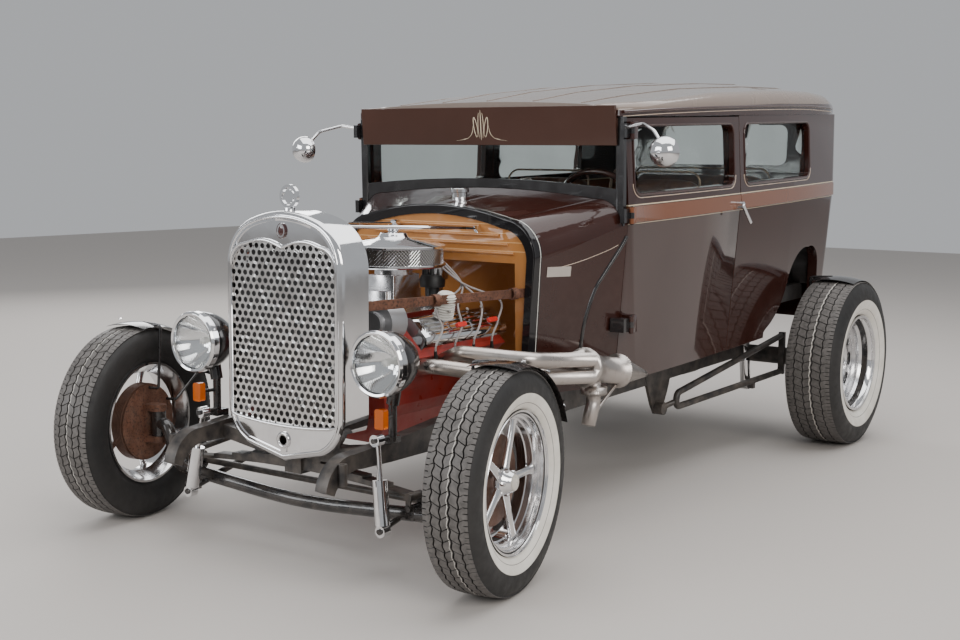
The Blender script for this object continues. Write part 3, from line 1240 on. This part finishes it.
# %% Drip rails, eave lines and roof ribs
rail_yz = smooth_path([(1.032, 1.3985), (1.30, 1.4065), (1.70, 1.4140), (2.20, 1.4195), (2.60, 1.4200),
                       (2.90, 1.4120), (3.00, 1.4080)], 12)
roof_tree = surface_tree("roof", "quarters")
EAVE_BEADS = (
    # piece, finish, height over the line, lift, radius, sides
    ("drip_rails", maroon_bead, -0.006, 0.0022, 0.0052, 10),
    ("eave_lines", cream_bead, -0.0205, 0.0006, 0.0016, 8),
)
for name, look, over, lift, radius, sides in EAVE_BEADS:
    tubes = []
    for side in (1, -1):
        path = raked(np.insert(rail_yz + [0, over], 0, VIEW_X, axis=1)) * [side, 1, 1]
        tubes.append(tube(laid_on(roof_tree, path, (-side, 0, 0), lift)[0], radius, sides, up=(1, 0, 0)))
    piece(name, tubes, look, "chassis", SLOT_OF["roof"], sharp_deg=60)

roof_only = surface_tree("roof")
ribs = []
for x in (-0.40, -0.20, 0.0, 0.20, 0.40):
    y = np.linspace(1.06, 2.93, 60)
    top_line = raked(np.column_stack([np.full(60, x), y, np.full(60, VIEW_Z)]))
    on, normals = laid_on(roof_only, top_line, (0, 0, -1), 0.0004)
    ribs.append(strip(on, (1, 0, 0), 0.0075, 0.0036, up=normals))
roof_grey = finish("roof_rib_grey", (0.20, 0.155, 0.13), 0.28, vary=0.08, dust=0.0, Coat_Weight=0.7)
piece("roof_ribs", ribs, roof_grey, "chassis", SLOT_OF["roof"], bevel=0.0008)
print("lines along the eaves:", 2 * len(EAVE_BEADS), "ribs:", len(ribs))

# %% [markdown]
# ## Pinstripes
#
# A pinstripe is a brush stroke: it starts thin, swells and runs out again. Each stroke is a flat ribbon along
# a smooth curve, and its width follows sin(pi s) along it. The figure on the visor is the common one of loops
# and tails about a spear, drawn once and mirrored.

# %% Strokes on the visor
def stroke(curve, widest, lift_to, steps=12):
    """A ribbon along a curve in a flat view; lift_to places flat points (a, b) in space, just off a panel."""
    path = smooth_path(curve, steps)
    s = np.linspace(0, 1, len(path))
    along = unit(np.gradient(path, axis=0))
    across = np.column_stack([-along[:, 1], along[:, 0]])
    half = (widest / 2 * (0.18 + 0.82 * np.sin(math.pi * s) ** 0.8))[:, None]
    edges = np.stack([path + across * half, path - across * half], 1)
    rows = len(path)
    low, high = lift_to(edges, 0.0001), lift_to(edges, 0.0007)
    points = np.concatenate([low[:, :1], high[:, :1], high[:, 1:], low[:, 1:]], 1).reshape(-1, 3)
    caps = np.array([[0, 1, 2, 3], [4 * rows - 1, 4 * rows - 2, 4 * rows - 3, 4 * rows - 4]])
    return points, grid_faces(rows, 4, False, True), caps


VISOR_Y, VISOR_TOP, VISOR_SLOPE, FIGURE_Z = 1.0000, 1.416, 0.010 / 0.137, 1.350


def on_visor(flat, off):
    """Puts flat points (x, height) on the visor's front, off it by a distance."""
    y = VISOR_Y + (VISOR_TOP - flat[..., 1]) * VISOR_SLOPE - off
    return raked(np.stack([flat[..., 0], y, flat[..., 1]], -1))


FIGURE = (
    # the figure's strokes as (across, height above the middle); widest width
    (((0.0, 0.056), (0.0004, 0.020), (0.0, -0.020), (0.0, -0.052)), 0.0034),
    (((0.007, -0.046), (0.012, -0.010), (0.010, 0.030), (0.007, 0.046)), 0.0020),
    (((0.014, -0.040), (0.016, -0.004), (0.027, 0.028), (0.032, 0.020), (0.030, -0.012), (0.021, -0.040),
      (0.016, -0.036)), 0.0026),
    (((0.034, 0.000), (0.040, -0.026), (0.056, -0.044), (0.082, -0.050)), 0.0018),
    (((0.036, -0.020), (0.046, -0.036), (0.066, -0.048), (0.112, -0.055)), 0.0014),
)
strokes = []
for curve, widest in FIGURE:
    curve = np.array(curve)
    for side in (1, -1):
        if side > 0 or abs(curve[:, 0]).max() > 0.001:
            strokes.append(stroke(curve * [side, 1] + [0, FIGURE_Z], widest, on_visor))
stripe_cream = finish("stripe_cream", (0.80, 0.68, 0.50), 0.3, vary=0.05, dust=0.0)
piece("visor_pinstripe", strokes, stripe_cream, "chassis", SLOT_OF["visor"], sharp_deg=60)
print("strokes:", len(strokes))

# %% [markdown]
# ## Air cleaner
#
# The side of the air cleaner is open mesh: two families of thin wires that cross, each a helix that climbs
# the drum, P = (r cos t, r sin t, z0 + h (t - t0) / turn). Behind them is the dark paper element.

# %% Mesh, lid and nut
CLEANER = np.array([0.0, 0.470, 0.868])
MESH_R, WIRE_R, WIRES_ROUND, WIRE_TURN = 0.1678, 0.00085, 96, 0.30
wires = []
for lean in (1, -1):
    for k in range(WIRES_ROUND):
        t = 2 * math.pi * k / WIRES_ROUND + lean * np.linspace(0, WIRE_TURN, 7)
        z = np.linspace(0.0105, 0.0645, 7)
        helix = np.column_stack([MESH_R * np.cos(t), MESH_R * np.sin(t), z])
        wires.append(tube(helix + CLEANER, WIRE_R, 5, up=(0.3, 0.2, 1.0)))
element = lathe([(0.0112, 0.1640), (0.0112, 0.1667), (0.0638, 0.1667), (0.0638, 0.1640), (0.0112, 0.1640)], 96,
                CLEANER, (0, 0, 1))
dark_paper = finish("cleaner_element", (0.055, 0.045, 0.038), 0.8, vary=0.3, grain=60.0, dust=0.0,
                    bump=(220, 0.5, 0.001))
nut = [(0.116, 0.0), (0.116, 0.0170), (0.119, 0.0195)]
for k in range(5):
    z = 0.1205 + 0.0032 * k
    nut += [(z, 0.0195), (z + 0.0012, 0.0180), (z + 0.0020, 0.0195)]
nut += [(0.1385, 0.0175), (0.1395, 0.0)]
fixed("air_cleaner_mesh", wires, chrome, "air_cleaner")
fixed("air_cleaner_element", [element], dark_paper, "air_cleaner")
fixed("air_cleaner_nut", [lathe(nut, 40, CLEANER, (0, 0, 1))], chrome, "air_cleaner")
print("mesh wires:", len(wires))

# %% [markdown]
# ## Leads, hoses and fittings of the engine
#
# Loose things give an open engine its scale. The ignition leads run from the distributor over the valve
# covers, through red clips and down to the plugs. Each one hangs on a smooth curve through a few points that
# a mechanic would recognise: cap, loom, clip and plug.

# %% Distributor, leads and clips
PLUG_Y = (0.275, 0.380, 0.485, 0.590)
cap_at = np.array([0.0, 0.688, 0.790])
CAP_FORM = ((-0.050, 0.0), (-0.050, 0.024), (-0.010, 0.026), (-0.008, 0.044), (0.018, 0.046),
            (0.034, 0.038), (0.038, 0.030), (0.040, 0.0))
TOWER = ((0.0, 0.0), (0.0, 0.0085), (0.020, 0.0072), (0.024, 0.0055), (0.024, 0.0))
PLUG = ((0.0, 0.0), (0.0, 0.0110), (0.010, 0.0110), (0.012, 0.0070), (0.022, 0.0065), (0.022, 0.0))
LEAD_R, LANE_STEP = 0.0036, 0.008
towers, leads, clips, boots, plugs = [], [], [], [], []
lead_order = [(side, k) for side in (1, -1) for k in range(4)]
for number, (side, k) in enumerate(lead_order):
    a = 2 * math.pi * number / 8 + 0.2
    tower = cap_at + [0.028 * math.sin(a), 0.028 * math.cos(a), 0.036]
    towers.append(lathe(TOWER, 16, tower, (0, 0, 1)))
    y = PLUG_Y[k]
    lane = LANE_STEP * k
    path = smooth_path([tower + [0, 0, 0.020], tower + [side * 0.01, 0.0, 0.046],
                        (side * (0.15 + lane), 0.655 - lane, 0.800 + 0.3 * lane),
                        (side * (0.255 + 0.5 * lane), y + 0.105 + 0.02 * (k > 1), 0.752),
                        (side * 0.300, y + 0.070, 0.690), (side * 0.306, y + 0.028, 0.640),
                        (side * 0.288, y + 0.052, 0.592)], 9)
    leads.append(tube(path, LEAD_R, 10))
    boots.append(tube(path[-7:], np.linspace(0.0048, 0.0075, 7), 12))
    plugs.append(lathe(PLUG, 6, path[-1] + [-side * 0.018, 0, -0.012], (side * 0.8, 0, 0.6)))
for side in (1, -1):
    for y in (PLUG_Y[1] + 0.100, PLUG_Y[3] + 0.068):
        points, around, caps = plate(rounded_rect(0.050, 0.016, 0.006, 4), -0.006, 0.006)
        upright = points[:, [2, 0, 1]] @ np.array([[0.9, 0, 0.43], [0, 1, 0], [-0.43, 0, 0.9]])
        clips.append((upright + [side * 0.298, y - 0.030, 0.694], around, caps))
lead_grey = finish("lead_grey", (0.33, 0.30, 0.29), 0.4, vary=0.1, dust=0.3)
distributor_cap = lathe(CAP_FORM, 48, cap_at, (0, 0, 1))
fixed("distributor", [distributor_cap] + towers, black_plastic, "engine_drive")
fixed("ignition_leads", leads, lead_grey, "engine_drive")
fixed("plug_boots", boots, black_plastic, "engine_drive")
fixed("spark_plugs", plugs, steel, "engine_drive")
fixed("lead_clips", clips, red_plastic, "engine_drive", bevel=0.0012)
print("leads:", len(leads), "clips:", len(clips))

# %% Breather, coils and hoses
breather = [(0.0, 0.0), (0.0, 0.020)]
for k in range(9):
    z = 0.004 + 0.0085 * k
    breather += [(z, 0.0300), (z + 0.0042, 0.0330), (z + 0.0062, 0.0270)]
breather += [(0.082, 0.0300), (0.088, 0.0240), (0.090, 0.0)]
pale_rubber = finish("breather_white", (0.70, 0.68, 0.64), 0.4, vary=0.06, dust=0.2)
fixed("breather", [lathe(breather, 40, (0.262, 0.400, 0.716), (0.25, -0.1, 0.96))], pale_rubber, "valve_covers")
coil = [(0.0, 0.0), (0.0, 0.0265), (0.004, 0.0275), (0.100, 0.0275), (0.104, 0.0250), (0.106, 0.0110),
        (0.128, 0.0090), (0.128, 0.0)]
coil_tan = finish("coil_tan", (0.46, 0.22, 0.10), 0.34, vary=0.14, grain=14.0, dust=0.1)
coils = [lathe(coil, 40, (side * 0.338, 0.745, 0.625), (-side * 0.10, 0.62, 0.78)) for side in (1, -1)]
fixed("coils", coils, coil_tan, "firewall")
top_hose = smooth_path([(-0.085, 0.020, 0.895), (-0.095, 0.060, 0.900), (-0.090, 0.130, 0.858),
                        (-0.062, 0.190, 0.800), (-0.045, 0.235, 0.765)], 10)
low_hose = smooth_path([(0.120, 0.018, 0.520), (0.135, 0.050, 0.515), (0.120, 0.090, 0.530),
                        (0.080, 0.110, 0.560)], 10)
clamp = [(-0.006, 0.0245), (-0.006, 0.0268), (0.006, 0.0268), (0.006, 0.0245), (-0.006, 0.0245)]
clamps = [lathe(clamp, 32, p, unit(q - p))
          for p, q in ((top_hose[3], top_hose[4]), (top_hose[-4], top_hose[-3]))]
fixed("radiator_hoses", [tube(top_hose, 0.0235, 20), tube(low_hose, 0.0225, 20)], rubber, "radiator")
fixed("hose_clamps", clamps, steel, "radiator")
print("coils:", len(coils), "hoses: 2, clamps:", len(clamps))

# %% [markdown]
# ## Bolts and small plates
#
# One bolt head serves for all: a washer, six flats and a slight dome. Each row of bolts says where its bolts
# are, in which direction they look and how large they are.

# %% Rows of bolts
WASHER = np.array([(0.0, 0.0), (0.0, 1.25), (0.18, 1.20), (0.18, 0.0)])
HEAD = np.array([(0.15, 0.0), (0.15, 1.0), (0.72, 1.0), (0.86, 0.78), (0.90, 0.0)])


def bolt(at, axis, size):
    """A hexagon head on a washer, its six flats made by a turned form of six steps."""
    points, faces = spread(lathe(WASHER * size, 20, at, axis), lathe(HEAD * size, 6, at, axis))
    return points, np.concatenate(faces)


dip = math.radians(10.0)              # the headers' collectors point down by this angle
pipe_axis = np.array([0.0, math.cos(dip), -math.sin(dip)])
collector = np.array([0.620, 0.690, 0.555])
flange_up = np.array([0.0, math.sin(dip), math.cos(dip)])
rows_of_bolts = []
for side in (1, -1):
    for a in np.radians([30, 150, 270]):
        out = math.sin(a) * np.array([1, 0, 0]) + math.cos(a) * flange_up
        at = collector + pipe_axis * 0.2365 + out * 0.0515
        rows_of_bolts.append((at * [side, 1, 1], pipe_axis, 0.0062))
    for y in (0.300, 0.380, 0.480, 0.560):
        rows_of_bolts.append(((side * 0.300, y, 0.742), (side * 0.62, 0, 0.78), 0.0052))
    for z in (0.70, 0.80, 0.868):
        rows_of_bolts.append(((side * 0.356, 0.7215, z), (0, -1, 0), 0.0055))
    for y, z in ((0.010, 0.300), (0.052, 0.300)):
        rows_of_bolts.append(((side * 0.150, y, z), (0, 0, 1), 0.0070))
fixed("bolts", [bolt(*row) for row in rows_of_bolts], steel, "frame", sharp_deg=30)
print("bolts:", len(rows_of_bolts))

# %% Studs of the front fenders
STUD_REACH, STUD_X = 0.3450, 0.070
for side_name, side in SIDES:
    node = "front_fender_" + side_name
    studs = []
    for a in np.radians([2.0, 32.0, 60.0]):
        at = (STUD_X, STUD_REACH * math.sin(a), STUD_REACH * math.cos(a))
        stud = bolt(at, (0.25, math.sin(a), math.cos(a)), 0.0060)
        studs.append(moved(lambda p: on_wheel(p, side, True), stud))
    piece(node + "_studs", studs, chrome, frame["nodes"][node]["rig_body"], SLOT_OF[node], sharp_deg=30)
print("studs on a fender:", len(studs))

# %% Plate, mouldings and filler cap of the cowl
PLATE_CORNERS = np.array([(0.752, 0.8700), (0.836, 0.8700), (0.836, 0.8360), (0.752, 0.8360)])
COWL_LINES = (
    # piece, finish, radius, the line as (y, z)
    ("cowl_mouldings", black, 0.0075,
     ((1.050, 1.036), (1.020, 0.950), (0.965, 0.850), (0.932, 0.787), (0.906, 0.680), (0.900, 0.583))),
    ("cowl_pinstripes", cream_bead, 0.0012,
     ((0.780, 0.866), (0.815, 0.8717), (0.880, 0.890), (0.959, 0.9188), (1.000, 0.938))),
)
FILLER = ((0.0, 0.0266), (0.0225, 0.0266), (0.0225, 0.0305), (0.0240, 0.0326), (0.0360, 0.0326),
          (0.0378, 0.0302), (0.0382, 0.0))
cowl_tree = surface_tree("cowl")
flat = placed(np.insert(dense(PLATE_CORNERS, 0.012), 0, VIEW_X, axis=1))
near, normals = laid_on(cowl_tree, flat, (-1, 0, 0), 0.0004)
pale_plate = finish("plate_blank", (0.52, 0.47, 0.42), 0.35, 0.4, vary=0.1, dust=0.2)
piece("cowl_plate", [slab(near, near + normals * 0.0016)], pale_plate, "chassis", SLOT_OF["cowl"])
for name, look, radius, line in COWL_LINES:
    tubes = []
    for side in (1, -1):
        path = placed(np.insert(smooth_path(line, 10), 0, VIEW_X, axis=1)) * [side, 1, 1]
        tubes.append(tube(laid_on(cowl_tree, path, (-side, 0, 0), 0.0003)[0], radius, 10, up=(1, 0, 0)))
    piece(name, tubes, look, "chassis", SLOT_OF["cowl"], sharp_deg=60)
cap = lathe(FILLER, 48, (0, 0.872, 1.092), (0, 0, 1))
piece("filler_cap", [moved(raked, cap)], chrome, "chassis", SLOT_OF["cowl"], sharp_deg=35)
print("points round the plate:", len(near), "lines on the cowl:", 2 * len(COWL_LINES))

# %% [markdown]
# ## Seats
#
# A seat pad is a closed bag that is pumped up. It starts as a slightly thin rounded box, remeshed to an even
# net, and cloth simulation fills it with air and no weight. How far a point may swell is capped, so the pad
# keeps its outline. The sewn channels are pressed in afterwards: each is a valley exp(-(d / w)^2) across the
# pad, and a piped seam is laid round its edge.

# %% A pad's first form and its net
def rounded_box(half, power=0.34, rows=18, cols=40):
    """A superellipsoid: P = (a C(v) C(u), b C(v) S(u), c S(v)) with C, S as signed powers of cos and sin."""
    v = np.linspace(-math.pi / 2, math.pi / 2, rows)[:, None]
    u = np.linspace(0, 2 * math.pi, cols, endpoint=False)[None]
    bend = lambda w: np.sign(w) * np.abs(w) ** power
    points = np.stack([half[0] * bend(np.cos(v)) * bend(np.cos(u)), half[1] * bend(np.cos(v)) * bend(np.sin(u)),
                       half[2] * bend(np.sin(v)) + 0 * u], -1)
    return points.reshape(-1, 3), grid_faces(rows, cols, False, True)


def baked(obj):
    """A copy of an object's mesh as its modifiers leave it."""
    graph = bpy.context.evaluated_depsgraph_get()
    return bpy.data.meshes.new_from_object(obj.evaluated_get(graph))


def mesh_points(mesh):
    """All points of a mesh as rows."""
    flat = np.empty(len(mesh.vertices) * 3)
    mesh.vertices.foreach_get("co", flat)
    return flat.reshape(-1, 3)


print("points of a pad's first form:", len(rounded_box((0.2, 0.2, 0.07))[0]))

# %% Filling a pad and pressing its channels in
NET, AIR_PRESSURE, AIR_CAP, SHRINK = 0.012, 4.0, 0.022, 0.0015
THINNER = (0.010, 0.010, 0.012)       # what the pads lack before they are filled
CHANNELLED, CHANNEL_WIDTH, CHANNEL_DEPTH = 0.86, 0.0055, 0.0105
PIPING_R, PIPING_IN, PIPING_CORNER = 0.0042, 0.972, 0.050
FACES = {"top": (2, 1.0), "front": (1, -1.0)}     # axis that the face looks along, and its sign


def fill_pad(mesh, cap, frames=20):
    """Pumps a closed mesh up with cloth pressure and holds each point's travel to a cap."""
    before = mesh_points(mesh)
    obj = bpy.data.objects.new("pad_in_work", mesh)
    bpy.context.scene.collection.objects.link(obj)
    cloth = obj.modifiers.new("air", "CLOTH")
    cloth.settings.quality = 4
    cloth.settings.use_pressure = True
    cloth.settings.uniform_pressure_force = AIR_PRESSURE
    cloth.settings.effector_weights.gravity = 0.0
    for number in range(1, frames + 1):
        bpy.context.scene.frame_set(number)
    after = mesh_points(baked(obj))
    bpy.context.scene.frame_set(1)
    obj.modifiers.clear()
    bpy.data.objects.remove(obj)
    travel = after - before
    reach = np.linalg.norm(travel, axis=1, keepdims=True)
    held = before + travel * np.minimum(1.0, cap / np.maximum(reach, 1e-9))
    mesh.vertices.foreach_set("co", held.astype(np.float32).ravel())
    return float(reach.max())


def channelled(points, size, channels, face):
    """Keeps a pad within its size and presses its channels in: valleys exp(-(d / w)^2) of equal pitch."""
    limit = np.array(size) / 2 - SHRINK
    points = np.clip(points, -limit, limit)
    deep, towards = FACES[face]
    on_face = np.clip((points[:, deep] * towards) / limit[deep], 0, 1) ** 3
    inner = np.clip((CHANNELLED - np.abs(points[:, 0]) / limit[0]) * 12, 0, 1)
    pitch = size[0] * CHANNELLED / channels
    from_seam = ((points[:, 0] / pitch + 0.5 * (channels % 2 == 0) + 0.5) % 1.0 - 0.5) * pitch
    valley = np.exp(-(from_seam / CHANNEL_WIDTH) ** 2)
    points[:, deep] -= towards * on_face * inner * valley * CHANNEL_DEPTH
    return points


def into_car(points, lean, centre):
    """Leans a pad, sets it in the body's level frame and rakes it with the body."""
    return raked(leaned(points, math.radians(lean)) + centre)


print("a pad may swell by", 1000 * AIR_CAP, "mm and its channels are", 1000 * CHANNEL_DEPTH, "mm deep")

# %% Leather, piping and the list of pads
leather = finish("seat_leather_brown", (0.105, 0.045, 0.026), 0.42, vary=0.16, grain=5.0, dust=0.0,
                 bump=(420, 0.3, 0.0006), Coat_Weight=0.15)
piping = finish("seat_piping", (0.30, 0.20, 0.13), 0.45, vary=0.08, dust=0.0)
PADS = (
    # name, full size, centre in the body's level frame, lean in degrees, channels, face of the channels
    ("seat_left_cushion", (0.430, 0.470, 0.150), (0.255, 1.640, 0.635), 4, 7, "top"),
    ("seat_left_back", (0.420, 0.120, 0.480), (0.255, 1.872, 0.918), -12, 7, "front"),
    ("seat_right_cushion", (0.430, 0.470, 0.150), (-0.255, 1.640, 0.635), 4, 7, "top"),
    ("seat_right_back", (0.420, 0.120, 0.480), (-0.255, 1.872, 0.918), -12, 7, "front"),
    ("bench_cushion", (0.840, 0.420, 0.150), (0.0, 2.500, 0.699), 0, 13, "top"),
    ("bench_back", (0.830, 0.130, 0.430), (0.0, 2.700, 0.924), -12, 13, "front"),
)
print("pads to fill:", len({size for _, size, *_ in PADS}), "for", len(PADS), "pads")

# %% Seats and bench
swollen = {}
for name, size, centre, lean, channels, face in PADS:
    half = np.array(size) / 2 - THINNER
    if size not in swollen:
        start = bpy.data.objects.new("pad_start", new_mesh("pad_start", [rounded_box(half)]))
        bpy.context.scene.collection.objects.link(start)
        net = start.modifiers.new("net", "REMESH")
        net.mode = "VOXEL"
        net.voxel_size = NET
        mesh = baked(start)
        bpy.data.objects.remove(start)
        print(name, "swelled by up to", round(1000 * fill_pad(mesh, AIR_CAP), 1), "mm")
        swollen[size] = (mesh_points(mesh), mesh)
    mesh = swollen[size][1].copy()
    points = into_car(channelled(swollen[size][0], size, channels, face), lean, centre)
    mesh.vertices.foreach_set("co", points.astype(np.float32).ravel())
    mesh.name = name
    mesh.materials.clear()
    mesh.materials.append(leather)
    shade(mesh, 60)
    pad = bpy.data.objects.new(name, mesh)
    bpy.context.scene.collection.objects.link(pad)
    smooth = pad.modifiers.new("smooth", "SUBSURF")
    smooth.levels = smooth.render_levels = 1
    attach(pad, "chassis")
    if name == "seat_left_cushion":
        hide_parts("seats")
    limit = np.array(size) / 2 - SHRINK
    deep, towards = FACES[face]
    others = [axis for axis in range(3) if axis != deep]
    seam = dense(rounded_rect(*(2 * limit[others] * PIPING_IN), PIPING_CORNER, 8), 0.02)
    line = np.full((len(seam), 3), limit[deep] * towards * 0.80)
    line[:, others] = seam
    cord = tube(into_car(line, lean, centre), PIPING_R, 8, up=(0.1, 0.2, 0.9), close=True)
    piece(name + "_piping", [cord], piping, "chassis", SLOT_OF["seats"], sharp_deg=60)
print("pads:", len(PADS))

# %% [markdown]
# ## Hand the dressed car back
#
# The boxes before and after are kept, to see that no addition has made the car larger.
